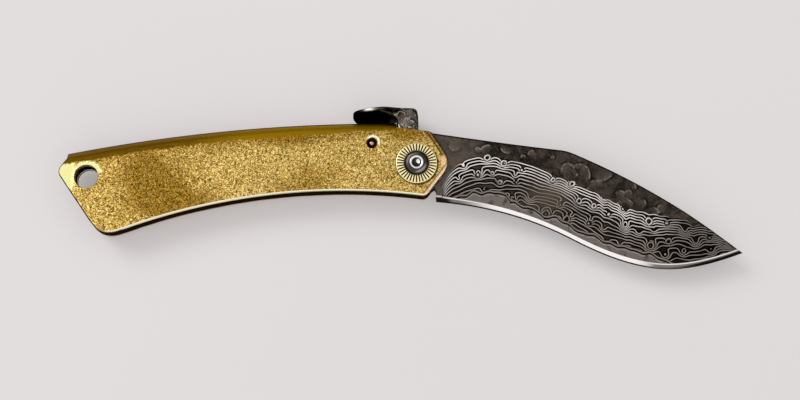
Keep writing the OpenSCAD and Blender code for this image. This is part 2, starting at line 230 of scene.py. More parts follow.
handleLook = {
    # radius of the worn edges, and of the more worn lips; the hole's share of the lips' radius; facets that
    # meet under the flat angle are joined, and edges over the corner angle are rounded
    "edgeBreak": 0.22, "lipBreak": 0.34, "holeShare": 0.3, "flatAngle": 0.4, "cornerAngle": 38.0,
    "bowRadius": 410.0, "spineRise": 11.3, "spinePeakBack": 7.5,
    "lipRadius": 160.0, "lipDrop": 7.0, "lipPeakBack": 18.5,
    "lipFrom": (-82.0, -74.6), "lipTo": (1.1, 3.2),    # where the lips' wear comes in, and where it goes out
    "slotEnd": -5.15, "slotCut": (-4.8, 0.9, 8.0), "foldEnd": -88.9, "wallInside": 1.9,
    "hole": (-84.1, -3.52), "holeRadius": 3.0, "pin": (-11.4, 5.4), "pinRadius": 2.0, "rivetRadius": 2.5,
    # the slanted ends, each as a normal and how far out along it the end lies
    "noseAbove": (0.8433, 0.5376, 7.94), "noseBelow": (0.8, -0.6, 6.96),
    "buttEnd": (-0.8227, -0.5685, 76.678),
    "stipplePerMm": 2.0, "glitterPerMm": 3.2, "squigglePerMm": 1.25, "cloudPerMm": 0.13, "stippleDepth": 0.12,
    # the smooth fold, how much it widens to the butt, and where it widens, darkens and lightens
    "foldWidth": 2.55, "foldMore": 0.9, "foldWidens": (-8.0, -30.0), "foldDarkens": (-30.0, -78.0),
    "foldLightens": (-62.0, -40.0), "crown": (1.3, 1.9), "shoulder": (6.4, 3.6),
    # the polished corner along x and y, and the polished ring round the hole with the foot that cuts it off
    "cornerX": (-86.5, -88.0), "cornerY": (-8.2, -4.4), "ring": (1.5, 0.8), "ringFoot": (-12.4, -11.6),
    # the butt's tone gives way to the front's, the front lip's to painted shade, and the rear lip's to cream
    "frontFrom": (-76.0, -34.0), "lipGrime": (-50.0, -20.0), "rearCream": (-26.0, -16.0),
    # of the stop pin's sink, and of the painted shadow round the washer
    "sinkRadius": 1.5, "washerShadowRadius": 5.5,
    "butt": tone(158, 122, 32), "front": tone(168, 134, 52), "dull": tone(106, 76, 0),
    "brightAndHighlight": tone(248, 218, 140), "warmBrightAndHighlight": tone(226, 174, 56), "pitAndShade": tone(46, 28, 0),
    "foldTop": tone(168, 124, 6), "foldShadedSide": tone(94, 66, 0), "foldStreak": tone(126, 92, 4),
    "foldBright": tone(168, 132, 4), "foldDarkAndShadeLine": tone(60, 40, 0),
    "polished": tone(252, 247, 172), "inside": tone(64, 44, 14), "holeWallShade": tone(58, 36, 24),
    "pinkish": tone(232, 192, 148), "cream": tone(255, 248, 212), "grime": tone(34, 22, 18),
    "olive": tone(84, 68, 28), "plainEdge": tone(206, 178, 108), "rearRim": tone(214, 204, 190),
    # middle and half size of the scratched and the pinkish place, and of each dull patch, with its strength
    "scratches": ((2.4, 7.0), (2.6, 1.7)), "pinkTip": ((6.9, 0.5), (0.8, 1.9)),
    "patches": [((-66.5, -4.5), (8.5, 6.5), 1.5), ((-60.0, -11.0), (9.0, 3.8), 1.6),
                ((-27.0, -5.0), (8.0, 5.0), 0.65), ((-70.0, 2.0), (5.0, 3.0), 0.4),
                ((-35.0, 6.8), (14.0, 2.6), 1.1)],
}


def overLip(length, x, y, look):
    # height above the bow of the lips: distance from the bow's centre less its radius
    return length(x + look["lipPeakBack"], y + look["lipDrop"] + look["lipRadius"]) - look["lipRadius"]


def insideEnd(end, x, y):
    # millimetres inside a slanted end: how far out the end lies, less the point's reach along its normal
    nx, ny, reach = end
    return reach - (x * nx + y * ny)


def stippledBrass(g, look):
    point, x, y, z = g.pivotSpace()
    grain = g.noise(point, look["stipplePerMm"], 3.0, 0.64, 1.3)
    glitter = g.noise(point, look["glitterPerMm"], 1.0)
    squiggle = abs(g.noise(point, look["squigglePerMm"], 1.5, 0.5, 1.4) - 0.5)
    cloud = g.noise(point, look["cloudPerMm"], 3.0, 0.6)
    ragged = (g.noise(point, 1.5, 2.0) - 0.5) * 1.1 + (cloud - 0.5) * 1.2
    bowMiddle = look["spineRise"] - look["bowRadius"]
    fromCrown = look["bowRadius"] - g.length2(x + look["spinePeakBack"], y - bowMiddle)
    (holeX, holeY), (pinX, pinY) = look["hole"], look["pin"]
    fromRim = g.length2(x - holeX, y - holeY) - look["holeRadius"]
    # the fold is smooth, and the butt's corner and a ring round the hole are polished, their pale tone partly
    # a painted highlight
    overFace = fromCrown - look["foldWidth"] - g.rise(x, *look["foldWidens"]) * look["foldMore"] + ragged
    onFold = g.rise(overFace, 0.4, -0.4) * g.rise(x, look["slotEnd"] + 0.5, look["slotEnd"])
    corner = g.rise(x + ragged, *look["cornerX"]) * g.rise(y + ragged * 0.8, *look["cornerY"])
    ring = g.rise(fromRim + ragged * 0.8 + (grain - 0.5) * 2.0, *look["ring"])
    ring = ring * g.rise(y + x * 0.12, *look["ringFoot"])
    smooth = g.larger(ring, corner) * (1 - onFold)
    # the stippled face is duller in its patches and under the fold
    dull = (cloud - 0.5) * 1.3
    for middle, half, strength in look["patches"]:
        dull = dull + g.bell(g.spread(x, y, middle, half) * 1.1) * strength
    dull = g.larger(g.rise(dull, 0.0, 1.0), g.rise(overFace, 3.6, 0.2) * 0.6)
    # the stipple's lighter tops, glitter and squiggles are partly painted highlights, and its dark pits
    # partly painted shade
    brightAndHighlight = g.rise(grain, 0.5, 0.6)
    face = g.over("butt", look, [
        (g.rise(x, *look["frontFrom"]), "front"),
        (dull, "dull"),
        (g.larger(brightAndHighlight * (0.9 - dull * 0.5), g.rise(glitter, 0.56, 0.66) * 0.6),
         g.mix(dull, look["brightAndHighlight"], look["warmBrightAndHighlight"])),
        (g.larger(g.rise(grain, 0.48, 0.39) * 0.9, g.rise(glitter, 0.44, 0.34) * 0.7), "pitAndShade"),
        (g.rise(squiggle, 0.03, 0.0) * 0.4, "brightAndHighlight")])
    # the fold is lighter at its crown, in painted shade on its side and streaked lengthwise, with a painted
    # dark line of shade at the very top
    streak = g.noise(g.joined(x * 0.25, fromCrown * 2.6, z), 1.0, 3.0, 0.6)
    fold = g.over("foldTop", look, [
        (g.rise(fromCrown, *look["crown"]), "foldShadedSide"),
        (g.rise(streak, 0.4, 0.7) * 0.55, "foldStreak"),
        (g.rise(x, *look["foldDarkens"]) * 0.35, "foldDarkAndShadeLine"),
        (g.rise(x, *look["foldLightens"]) * 0.45, "foldBright"),
        (g.rise(fromCrown, 0.22, 0.05) * 0.6, "foldDarkAndShadeLine")])
    # a darker shoulder by the slot, bright scratches beside it, an olive strip between two painted lines of
    # shade along the nose's upper slant, a pinkish tip and lower slant with a painted shade line along it, a
    # painted shadow beside the washer, and painted shade at the butt's cut edge
    shoulder = g.rise(fromCrown + ragged, *look["shoulder"])
    shoulder = shoulder * g.rise(x, look["slotEnd"] - 3.0, look["slotEnd"] + 0.5)
    across = g.fraction((x * 0.62 + y * 0.5) * 1.15 + grain * 0.5 + cloud * 2.0)
    scratched = g.rise(g.spread(x, y, *look["scratches"]), 1.0, 0.6)
    scratched = scratched * g.rise(abs(across - 0.5), 0.16, 0.06) * g.rise(squiggle, 0.02, 0.09)
    inAbove, above = insideEnd(look["noseAbove"], x, y), g.rise(y, 1.2, 2.4) * g.rise(y, 8.8, 7.6)
    inBelow, below = insideEnd(look["noseBelow"], x, y), g.rise(y, 0.5, -0.5)
    strip = inAbove + ragged * 0.15
    lighterPlace = g.rise(g.spread(x, y, *look["pinkTip"]) + ragged * 0.4, 1.0, 0.7)
    lighterPlace = g.larger(lighterPlace, g.rise(inBelow + ragged * 0.2, 1.05, 0.85) * below)
    washerShadow = g.bell((g.length2(x, y) - look["washerShadowRadius"]) / 0.18)
    washerShadow = washerShadow * g.rise(x * 0.85 - y * 0.5, 1.0, 3.5)
    buttEdgeShade = g.rise(insideEnd(look["buttEnd"], x, y), 0.36, 0.22) * g.rise(y, -1.0, -2.5)
    # the stop pin's sink is painted shade, with a painted highlight on its rim up and to the right
    overX, overY, radius = x - pinX, y - pinY, look["sinkRadius"]
    sinkShade = g.rise(g.length2(overX, overY) + ragged * 0.1, radius, radius - 0.15)
    sinkHighlight = g.bell((g.length2(overX - 0.25, overY - 0.3) - radius - 0.05) / 0.28)
    sinkHighlight = sinkHighlight * g.rise(overX * 0.6 + overY, 0.2, 1.0)
    # the cut faces of the front and the rear lip: the front lip cream, going into painted shade towards the
    # nose, and the rear lip pinkish, clouded darker, and lighter towards the nose
    frontLip = g.mix(g.rise(x, *look["lipGrime"]) * 0.8, look["cream"], look["grime"])
    rearLip = g.over("pinkish", look, [
        (g.rise(cloud, 0.35, 0.6) * 0.5, "grime"),
        (g.rise(x, *look["rearCream"]) * 0.8, "cream")])
    colour = g.over(face, look, [
        (onFold * 0.94, fold),
        (smooth * 0.95, "polished"),
        (shoulder * 0.85, g.mix(brightAndHighlight, look["dull"], look["front"])),
        (scratched * 0.6, "pinkish"),
        (g.rise(strip, 1.2, 1.05) * above * 0.45, "olive"),
        (g.bell((strip - 1.15) / 0.2) * above * 0.9, "grime"),
        (g.rise(inAbove, 0.66, 0.5) * above * 0.85, "grime"),
        (washerShadow * 0.85, "grime"),
        (lighterPlace * 0.8, "pinkish"),
        (g.bell((inBelow - 0.85) * 7.0) * below * 0.85, "grime"),
        (buttEdgeShade * 0.9, "grime"),
        (sinkHighlight * 0.9, "cream"),
        (sinkShade, "grime"),
        # the channel's inner faces and the hole's wall are painted shade
        (g.rise(abs(z), look["wallInside"] + 0.06, look["wallInside"] + 0.02), "inside"),
        (g.rise(fromRim, 0.04, 0.01), "holeWallShade"),
        (g.rise(overLip(g.length2, x, y, look), 0.06, 0.02),
         g.mix(g.rise(z, 0.0, 0.5), rearLip, frontLip))])
    rough = 0.36 - smooth * 0.2 + onFold * 0.14 + dull * 0.05
    height = grain * (1 - smooth * 0.92) * (1 - onFold * 0.8) + squiggle * (1 - smooth) * (1 - onFold) * 0.5
    g.metal(colour, rough, g.bump(height, look["stippleDepth"]))


def brokenEdge(g, look):
    # the rounded cut edges: cream along the lips, partly a painted highlight, pinkish under the nose, painted
    # shade at the butt, above the nose, round the front hole and along the channel's inside, and pale round
    # the rear wall's hole
    point, x, y, z = g.pivotSpace()
    holeX, holeY = look["hole"]
    worn = g.noise(point, 0.9, 3.0, 0.6)
    atHole = g.rise(g.length2(x - holeX, y - holeY) - look["holeRadius"], 0.8, 0.5)
    rear = g.rise(z, -1.2, -1.6) * g.rise(z, -3.0, -2.6)
    inner = 1 - g.rise(abs(z), 2.2, 2.5)
    onLip = g.rise(overLip(g.length2, x, y, look), 1.3, 0.9) * g.rise(x, -81.0, -79.0)
    underNose = g.rise(insideEnd(look["noseBelow"], x, y), 0.7, 0.5) * g.rise(y, 0.8, -0.4)
    colour = g.over("plainEdge", look, [
        (g.rise(worn, 0.35, 0.7) * 0.5, "olive"),
        (g.rise(x, -80.0, -82.0), "grime"),
        (onLip, g.mix(g.rise(worn, 0.55, 0.8) * 0.5, look["cream"], look["polished"])),
        (g.rise(x, 0.8, 2.0) * g.rise(y, 0.5, 1.5) * 0.85, "grime"),
        (underNose, g.mix(g.rise(worn, 0.5, 0.7) * 0.6, look["cream"], look["pinkish"])),
        (atHole, "grime"),
        (atHole * rear, "rearRim"),
        (inner * (1 - rear * atHole), "grime")])
    g.metal(colour, 0.3, g.bump(worn, 0.03), edge=0.25)


def edgedCopy(name, node, look, materials):
    # the node's own solid, merged, its flat facets joined, and its sharp edges rounded; the lips' outer edges
    # are rounded most, and the lanyard hole least
    mesh = frame["nodes"][node].data.copy()
    made = bmesh.new()
    made.from_mesh(mesh)
    bmesh.ops.remove_doubles(made, verts=made.verts, dist=1e-7)
    flat, corner = math.radians(look["flatAngle"]), math.radians(look["cornerAngle"])
    bmesh.ops.dissolve_limit(made, angle_limit=flat, verts=made.verts, edges=made.edges)
    sharp = np.array([edge.calc_face_angle(0.0) > corner for edge in made.edges])
    middle = np.array([(edge.verts[0].co + edge.verts[1].co) / 2 for edge in made.edges]) / mm - pivotPlace
    made.to_mesh(mesh)
    made.free()
    x, y, z = middle.T
    fromHole, fromPin = (np.hypot(x - cx, y - cy) for cx, cy in (look["hole"], look["pin"]))
    share = np.full(len(x), look["edgeBreak"] / look["lipBreak"])
    onLip = (overLip(np.hypot, x, y, look) < 1.5) & (np.abs(z) > 3.0)
    # the share changes only round the lip's two corners
    widened = smoothStep(x, *look["lipFrom"]) * (1 - smoothStep(x, *look["lipTo"]))
    share = np.where(onLip, share + (1 - share) * widened, share)
    share = np.where(fromHole < look["holeRadius"] + 0.2, look["holeShare"], share)
    # the fold's ends, the pin's sink and the rivet's hole stay as the saw and drill left them
    slotX, halfLength, foot = look["slotCut"]
    atSlot = (np.abs(x - slotX) < halfLength) & (y > foot)
    asCut = (fromPin < look["pinRadius"]) | (np.hypot(x, y) < look["rivetRadius"])
    asCut = asCut | atSlot | ((x < look["foldEnd"]) & (y > 0.0))
    share = np.where(asCut, 0, share)
    layer = mesh.attributes.new("bevel_weight_edge", "FLOAT", "EDGE")
    layer.data.foreach_set("value", np.where(sharp, share, 0.0).astype(np.float32))
    mesh.shade_smooth()
    mesh.materials.clear()
    for material in materials:
        mesh.materials.append(material)
    piece = put(name, mesh)
    bevel = piece.modifiers.new("brokenEdges", "BEVEL")
    bevel.width, bevel.segments, bevel.material = look["lipBreak"] * mm, 4, 1
    bevel.limit_method, bevel.use_clamp_overlap = "WEIGHT", False
    normals = piece.modifiers.new("flatFaces", "WEIGHTED_NORMAL")
    normals.keep_sharp = True
    return piece


handle = edgedCopy("folded_brass_handle", "handle_shell", handleLook,
                   (finish(stippledBrass, handleLook), finish(brokenEdge, handleLook)))
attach(handle, "handle")
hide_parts("handle_shell")
print("handle made:", len(handle.data.polygons), "faces before its edges are rounded")


# Blade: the ground blank from the tang to the tip

blade = {
    # stations of the edge and of the back, each as x, y and slope
    "heel": (5.1, -9.4, -0.08), "turn": (39.6, -19.2, -0.53),
    "belly": (64.0, -26.8, 0.0), "tipEdge": (82.9, -22.6, 0.37),
    "backStart": (0.6, 9.0, -0.15), "humpBehind": (38.6, 3.9, -0.11),
    "humpAhead": (38.6, 3.9, -0.42), "tipBack": (82.9, -22.6, -0.8),
    "humpRound": 1.6, "humpDrop": 0.12,
    # the heel's end leans back by the slant; the notch above it is a half circle: x, y and radius
    "heelSlant": 0.42, "heelTall": 3.4, "notch": (4.6, -7.0, 0.6), "insideTang": (-1.0, -6.2, -2.0),
    "thickness": 3.6, "tipThickness": 2.2, "taperFrom": 14.0,
    "grindHeight": 14.2, "plungeLength": 14.0,
    "edgeBevel": 1.4, "bevelThickness": 0.5, "edgeThickness": 0.1,
    "backRound": 0.35, "hammerDepth": 0.05,
    # points along the blade, and across its bevel, ground face, forged flat and rounded corner
    "stations": 460, "drawnToEnds": 0.12, "across": (5, 62, 14, 4),
}


def edgeHeight(x):
    # three cubics, from the heel over the turn and the belly to the tip
    b = blade
    return np.where(x < b["turn"][0], hermite(b["heel"], b["turn"], x),
                    np.where(x < b["belly"][0], hermite(b["turn"], b["belly"], x),
                             hermite(b["belly"], b["tipEdge"], x)))


def backHeight(x):
    # two cubics that meet at the hump, rounded there by a parabola
    b = blade
    hump = b["humpAhead"][0]
    straight = np.where(x < hump, hermite(b["backStart"], b["humpBehind"], x),
                        hermite(b["humpAhead"], b["tipBack"], x))
    t = np.clip(1 - np.abs(x - hump) / b["humpRound"], 0, 1)
    return straight - b["humpDrop"] * t * t


def blankHalf(x):
    # half the thickness of the blank, which tapers to the tip
    b = blade
    share = np.clip((x - b["taperFrom"]) / (b["tipEdge"][0] - b["taperFrom"]), 0, 1)
    return (b["thickness"] - share * (b["thickness"] - b["tipThickness"])) / 2


def plungeShare(x):
    # how much of its height the grind has reached: a quarter circle over the plunge's length
    b = blade
    u = np.clip((x - b["heel"][0] - b["edgeBevel"]) / b["plungeLength"], 0, 1)
    return np.sqrt(1 - (1 - u) ** 2)


def bladeSection(x, v):
    # y, z and millimetres above the ground face, of half the section at x, for v from 0 at the edge to 4:
    # bevel to 1, ground face to 2, forged flat to 3, rounded corner of the back to 4
    b = blade
    low, back, half, reach = edgeHeight(x), backHeight(x), blankHalf(x), plungeShare(x)
    height, bevel = back - low, b["edgeBevel"]
    bevelHalf, edgeHalf = b["bevelThickness"] / 2, b["edgeThickness"] / 2
    corner = np.minimum(b["backRound"], 0.25 * height)
    foot = low + np.minimum(bevel, 0.45 * height)
    footZ = bevelHalf + (half - bevelHalf) * (1 - reach) ** 2
    fullTop = low + bevel + reach * (b["grindHeight"] - bevel)
    top = np.clip(fullTop, foot + 1e-3, back - corner)
    share = (top - foot) / np.maximum(fullTop - foot, 1e-3)
    topZ = footZ + (half - footZ) * np.minimum(share, 1)
    corner = np.minimum(corner, 0.6 * topZ)
    bevelT, grindT, flatT, roundT = (np.clip(v - k, 0, 1) for k in range(4))
    y = low + bevelT * (foot - low) + grindT * (top - foot) + flatT * (back - corner - top)
    y = y + corner * np.sin(roundT * math.pi / 2)
    z = edgeHalf + bevelT * (footZ - edgeHalf) + grindT * (topZ - footZ)
    z = z - corner * (1 - np.cos(roundT * math.pi / 2))
    return y, z, y - top


def heelLine(y):
    # x where the blank begins at height y: the heel's end, the notch above it, then well inside the tang
    b = blade
    heelX, heelY = b["heel"][:2]
    notchX, notchY, radius = b["notch"]
    inside, low, high = b["insideTang"]
    end = heelX - b["heelSlant"] * np.clip((y - heelY) / b["heelTall"], 0, 1)
    notch = notchX + np.sqrt(np.clip(radius ** 2 - (y - notchY) ** 2, 0, None))
    end = np.where(np.abs(y - notchY) < radius, np.maximum(end, notch), end)
    return end + (inside - end) * smoothStep(y, low, high)


layering = {
    # light layers at the heel, and how many more from the middle on; how they spread downwards, and how
    # steeply they leave the bevel at the heel
    "lines": 12.2, "moreLines": 1.8, "law": 1.38, "fan": 0.45,
    "plungeEnd": 20.5, "plungeCurve": 1.85, "tipFrom": 50.0, "slopeStep": 0.04,
    # waves in the layers: height in layers, share at the border, how many, shortest and longest
    "slowWaves": (1.2, 0.25, 7, 9.0, 22.0), "quickWaves": (0.45, 0.3, 9, 3.2, 6.5), "seeds": (20, 40),
    # the pattern ends a little above or below the ground face's top: places along the blade, and how much
    "borderAt": [5.9, 6.3, 7.0, 8.0, 9.5, 12.5, 17.0, 24.0, 30.0, 39.0, 45.6, 48.6, 53.6, 59.5, 62.0, 65.0,
                 67.0, 69.6, 71.5, 73.5],
    "borderShift": [-0.6, 0.9, 0.9, 0.7, 0.6, 0.1, -0.3, 0.1, 0.45, 0.5, 0.95, 0.66, -0.2, 0.0, -0.45, -0.9,
                    -1.4, -1.6, -0.8, 0.0],
    "borderNotches": [(47.8, 0.6), (53.3, 1.0), (70.4, 0.8)], "notchWidth": 0.7, "borderWave": 0.12,
    # and the bare core's height over the bevel
    "coreAt": [9.0, 11.0, 12.1, 14.4, 17.0, 20.0, 22.9, 24.2, 26.8, 30.0, 32.5, 35.8, 40.0, 45.6, 51.7, 55.0,
               58.4, 61.8, 64.0, 66.0],
    "coreHeight": [-0.6, 0.1, 0.7, 2.2, 2.0, 2.6, 3.3, 1.5, 1.8, 1.8, 0.5, 2.1, 1.2, 1.8, 1.9, 1.85,
                   1.4, 1.2, 0.2, -1.0],
    "coreWave": 0.756,
    # closed rings and dots, where a hammer mark cut a layer's crest: x, y and radius
    "rings": [(18.13, 1.95, 0.62), (22.47, 0.5, 0.66), (19.49, -2.01, 0.42), (21.38, -4.38, 0.5),
              (33.0, -12.61, 0.95), (34.96, -3.83, 0.5), (39.8, -4.88, 0.6), (38.33, -13.91, 0.7),
              (41.49, -9.34, 0.62), (45.29, -10.64, 0.5), (59.2, -14.54, 0.8), (59.51, -20.77, 0.78),
              (64.12, -19.73, 0.62)],
    "dots": [(22.47, 0.5, 0.12), (27.06, -1.21, 0.2), (25.48, -4.37, 0.2), (17.4, -6.22, 0.18),
             (24.39, -9.1, 0.45), (43.9, -15.08, 0.24), (49.06, -12.73, 0.36), (63.77, -15.05, 0.28),
             (74.58, -18.68, 0.24), (15.77, -2.54, 0.32), (52.67, -11.42, 0.2), (36.7, -10.2, 0.2)],
    "markWave": 0.24,
    # hammer marks, where the layers dip towards the edge: each kind has a depth in layers and a radius
    "dips": (1.3, 0.8, [(12.2, -0.44), (10.9, -3.7), (37.1, -9.8), (39.6, -13.2), (44.4, -14.2),
                        (47.5, -16.4), (52.9, -15.4), (56.6, -17.4), (68.5, -17.7), (78.2, -20.6),
                        (51.7, -20.4), (52.67, -11.6), (48.3, -19.6), (54.7, -22.2), (70.6, -14.2),
                        (60.5, -16.9), (47.6, -8.6), (25.3, -2.6)]),
    "deepDips": (2.1, 1.15, [(16.0, -1.9), (24.6, -8.6), (29.1, -8.6), (33.2, -12.2), (53.2, -16.0),
                             (59.9, -20.6), (71.2, -20.0), (67.8, -22.6), (63.3, -23.2), (75.0, -22.0),
                             (68.2, -16.8)]),
    # the rear face's marks are drawn at random: how many in all, where the rings and the dots end, and a seed
    "rearMarks": 46, "rearKinds": (12, 20), "rearSeed": 12,
}


# pale arcs left in the forge skin: centre x, y, radius, where the arc starts and how many degrees it sweeps
forgeMarks = [(38.8, -1.3, 1.8, 20, 190), (41.9, -2.4, 2.6, -30, 150), (40.4, -2.2, 0.7, -40, 170),
              (46.0, -6.2, 2.2, 60, 130), (47.2, -0.6, 3.4, -100, 62), (54.6, -5.6, 1.6, -10, 70),
              (52.0, -7.9, 1.2, 30, 120), (54.2, -7.6, 0.9, 20, 130), (53.2, -11.2, 2.3, 25, 130),
              (57.0, -10.2, 1.4, -20, 60), (60.2, -12.3, 1.3, -10, 90), (62.6, -11.3, 1.2, 120, 120),
              (33.0, 0.9, 3.2, -110, 44), (35.0, 1.95, 0.35, 0, 360), (15.9, 3.9, 0.6, 0, 300),
              (18.3, 3.6, 1.6, 80, 90), (27.3, 2.2, 0.4, 0, 200), (9.8, 5.4, 1.5, 190, 120),
              (29.6, 2.6, 1.1, 60, 100), (23.5, 5.0, 1.8, 200, 80)]


def borderHeight(x):
    # heights of the bevel's top and of the back, and the height over the bevel at which the pattern ends: a
    # power curve up the plunge, then the grind's top
    p = layering
    full = blade["grindHeight"] - blade["edgeBevel"]
    foot, back = edgeHeight(x) + blade["edgeBevel"], backHeight(x)
    before = np.clip((p["plungeEnd"] - x) / blade["plungeLength"], 0, 1)
    height = full * (1 - before ** p["plungeCurve"]) ** (1 / p["plungeCurve"])
    height = np.minimum(height, back - blade["backRound"] - foot)
    height = height + np.interp(x, p["borderAt"], p["borderShift"])
    for notchX, depth in p["borderNotches"]:
        height = height - depth * np.exp(-((x - notchX) / p["notchWidth"]) ** 2)
    return foot, back, height + p["borderWave"] * np.sin(x * 2.1) * smoothStep(x, 40, 50)


def marksOn(rear):
    # of one face: rings and dots as x, y, radius, and dips as x, y, depth in layers, radius
    p = layering
    if not rear:
        dips = [(x, y, depth, radius) for depth, radius, at in (p["dips"], p["deepDips"]) for x, y in at]
        return p["rings"], p["dots"], dips
    rng = np.random.default_rng(p["rearSeed"])
    x = rng.uniform(9, 79, p["rearMarks"])
    low, high = edgeHeight(x) + 2.5, np.minimum(edgeHeight(x) + 12.5, backHeight(x) - 1.0)
    y = low + rng.uniform(0, 1, len(x)) * (high - low)
    size = rng.uniform(0.5, 1.0, len(x))
    rings, dots, dips = np.split(np.stack([x, y, size], 1), p["rearKinds"])
    dots[:, 2] *= 0.4
    return rings, dots, np.stack([dips[:, 0], dips[:, 1], dips[:, 2] * 2.2, dips[:, 2] + 0.2], 1)


def toCircles(x, y, circles):
    # millimetres outside the nearest of the circles, less than 0 inside it; waves make them a little uneven
    x, y = (c + layering["markWave"] * waves(x, y, seed, 5, 1.2, 2.6) for c, seed in ((x, 71), (y, 72)))
    return np.min([np.hypot(x - cx, y - cy) - radius for cx, cy, radius in circles], axis=0)


def layerCount(x, y, rear):
    # which light layer reaches the surface at x, y, counted down from the pattern's border: the layers fan
    # out from the heel, run between border and bevel, wave, and dip at each hammer mark
    p = layering
    full = blade["grindHeight"] - blade["edgeBevel"]
    foot, back, border = borderHeight(x)
    top = np.maximum(border, 0.3)
    atTip = smoothStep(x, p["tipFrom"] - 2, p["tipFrom"] + 4)
    scale = top + (full * (top / full) ** 0.6 - top) * atTip
    fan = p["fan"] * np.clip(p["plungeEnd"] - x, 0, None)
    lines = p["lines"] + p["moreLines"] * smoothStep(x, 22, 36)
    count = lines * (1 - np.clip((y - foot + fan) / (scale + fan), 0, 2) ** p["law"])
    deep, calm = smoothStep(top - (y - foot), 0, 8), smoothStep(x, 7, 14)
    for k, (height, atBorder, many, shortest, longest) in enumerate((p["slowWaves"], p["quickWaves"])):
        wave = waves(x, y, p["seeds"][rear] + k, many, shortest, longest)
        count = count + height * (atBorder + deep) * calm * wave
    rings, dots, dips = marksOn(rear)
    closed = [(cx, cy, 1.1 + radius, radius + 0.5) for cx, cy, radius in (*rings, *dots) if radius > 0.15]
    for markX, markY, depth, radius in (*dips, *closed):
        count = count - depth * np.exp(-((x - markX) ** 2 + (y - markY) ** 2) / radius ** 2)
    return count


def bladeFields(x, y, rear):
    # what the finish reads at each point: millimetres below the pattern's border, over the bare core and the
    # bevel, under the back, outside the rings, dots and forge marks, and the layer count with its slope
    p = layering
    foot, back, border = borderHeight(x)
    step = p["slopeStep"]
    acrossX = (layerCount(x + step, y, rear) - layerCount(x - step, y, rear)) / (2 * step)
    acrossY = (layerCount(x, y + step, rear) - layerCount(x, y - step, rear)) / (2 * step)
    core = np.interp(x, p["coreAt"], p["coreHeight"])
    core = core + p["coreWave"] * waves(x, 0, 31 + rear, 5, 3.0, 7.0)
    rings, dots, dips = marksOn(rear)
    overMark, markSide = forgeMarkFields(x, y)
    return {"belowBorder": border - (y - foot), "overCore": y - foot - core,
            "overBevel": y - foot, "underBack": back - y, "overRing": toCircles(x, y, rings),
            "overDot": toCircles(x, y, dots), "overMark": overMark, "markSide": markSide,
            "layerCount": layerCount(x, y, rear), "layersPerMm": np.hypot(acrossX, acrossY)}


def forgeMarkFields(x, y):
    # millimetres from the nearest pale arc in the forge skin, and how far outside that arc's circle; the
    # circles are bent by slow waves
    x = x + 0.3 * waves(x, y, 61, 6, 2.5, 6.0)
    y = y + 0.3 * waves(x, y, 62, 6, 2.5, 6.0)
    off, side = np.full(x.shape, 9.0), np.full(x.shape, 9.0)
    for cx, cy, radius, start, sweep in forgeMarks:
        distance = np.hypot(x - cx, y - cy)
        turn = np.degrees(np.arctan2(y - cy, x - cx)) - start - sweep / 2
        past = np.radians(np.clip(np.abs((turn + 180) % 360 - 180) - sweep / 2, 0, None)) * radius
        nearer = np.hypot(distance - radius, past)
        side = np.where(nearer < off, distance - radius, side)
        off = np.minimum(off, nearer)
    return off, side


def bladeBlank(material):
    # x runs from the heel's line to the tip, and a closed section stands at each station
    b = blade
    v = np.concatenate([np.linspace(k, k + 1, n, endpoint=k == 3) for k, n in enumerate(b["across"])])
    # the stations draw together towards the heel and the tip
    u = np.linspace(0, 1, b["stations"])
    u = u + b["drawnToEnds"] * np.sin(2 * math.pi * u) / (2 * math.pi)
    begin = heelLine(bladeSection(np.full_like(v, b["heel"][0]), v)[0])
    tipX = b["tipEdge"][0] - 0.02
    x = begin + u[:, None] * (tipX - begin)
    y, z, aboveGrind = bladeSection(x, np.broadcast_to(v, x.shape))
    flat = smoothStep(aboveGrind, 0.0, 1.1)
    front, rear = (side * (z - b["hammerDepth"] * (0.5 + 0.5 * waves(x, y, seed, 9, 5.0, 14.0)) * flat)
                   for side, seed in ((1, 7), (-1, 8)))
    fields = [bladeFields(x, y, rear=False), bladeFields(x, y, rear=True)]
    ring = [np.concatenate([a, c[:, ::-1]], 1) for a, c in ((x, x), (y, y), (front, rear))]
    attributes = {key: np.concatenate([fields[0][key], fields[1][key][:, ::-1]], 1) for key in fields[0]}
    count = 2 * len(v)
    faces = loopFaces(b["stations"], count)
    last = (b["stations"] - 1) * count
    for j in range(len(v) - 1):  # the two ends are closed by quads from face to face
        k = count - 1 - j
        faces.append([j, k, k - 1, j + 1])
        faces.append([last + j, last + j + 1, last + k - 1, last + k])
    points = np.stack(ring, -1).reshape(-1, 3)
    return surfacePiece("ground_blade", points, faces, material, 28, attributes)


bladeLook = {
    # width of a light layer, and how far down the bevel's painted highlight reaches
    "lineWidth": 0.235, "whiteBevel": 0.98,
    # where along the blade the pattern comes up, its field darkens and its lines grey, and where the bevel's
    # painted reflection is dark at the heel, turns white and grey again, and narrows
    "patternFrom": (13.5, 8.5), "fieldDarkens": (44.0, 62.0), "linesGrey": (56.0, 70.0),
    "heelShade": (9.6, 7.6), "whiteFrom": (10.0, 22.0), "whiteTo": (63.0, 57.0), "bevelNarrows": (62.0, 74.0),
    "line": tone(246, 238, 230), "lowLine": tone(158, 148, 138), "tipLine": tone(132, 125, 118),
    "gap": tone(3, 1, 1), "between": tone(46, 39, 34), "core": tone(116, 110, 103),
    "coreRim": tone(150, 144, 138), "coreDark": tone(66, 58, 52),
    "bevel": tone(254, 249, 246), "bevelGrey": tone(122, 115, 110), "bevelLowShade": tone(24, 20, 18),
    "haze": tone(92, 83, 70), "hazyPlace": ((33.8, -8.0), (5.0, 3.6)),
    "scale": tone(70, 61, 54), "scaleDark": tone(36, 33, 27), "scaleBrown": tone(82, 68, 61),
    "scaleRing": tone(150, 140, 128), "swirl": tone(172, 166, 154),
}


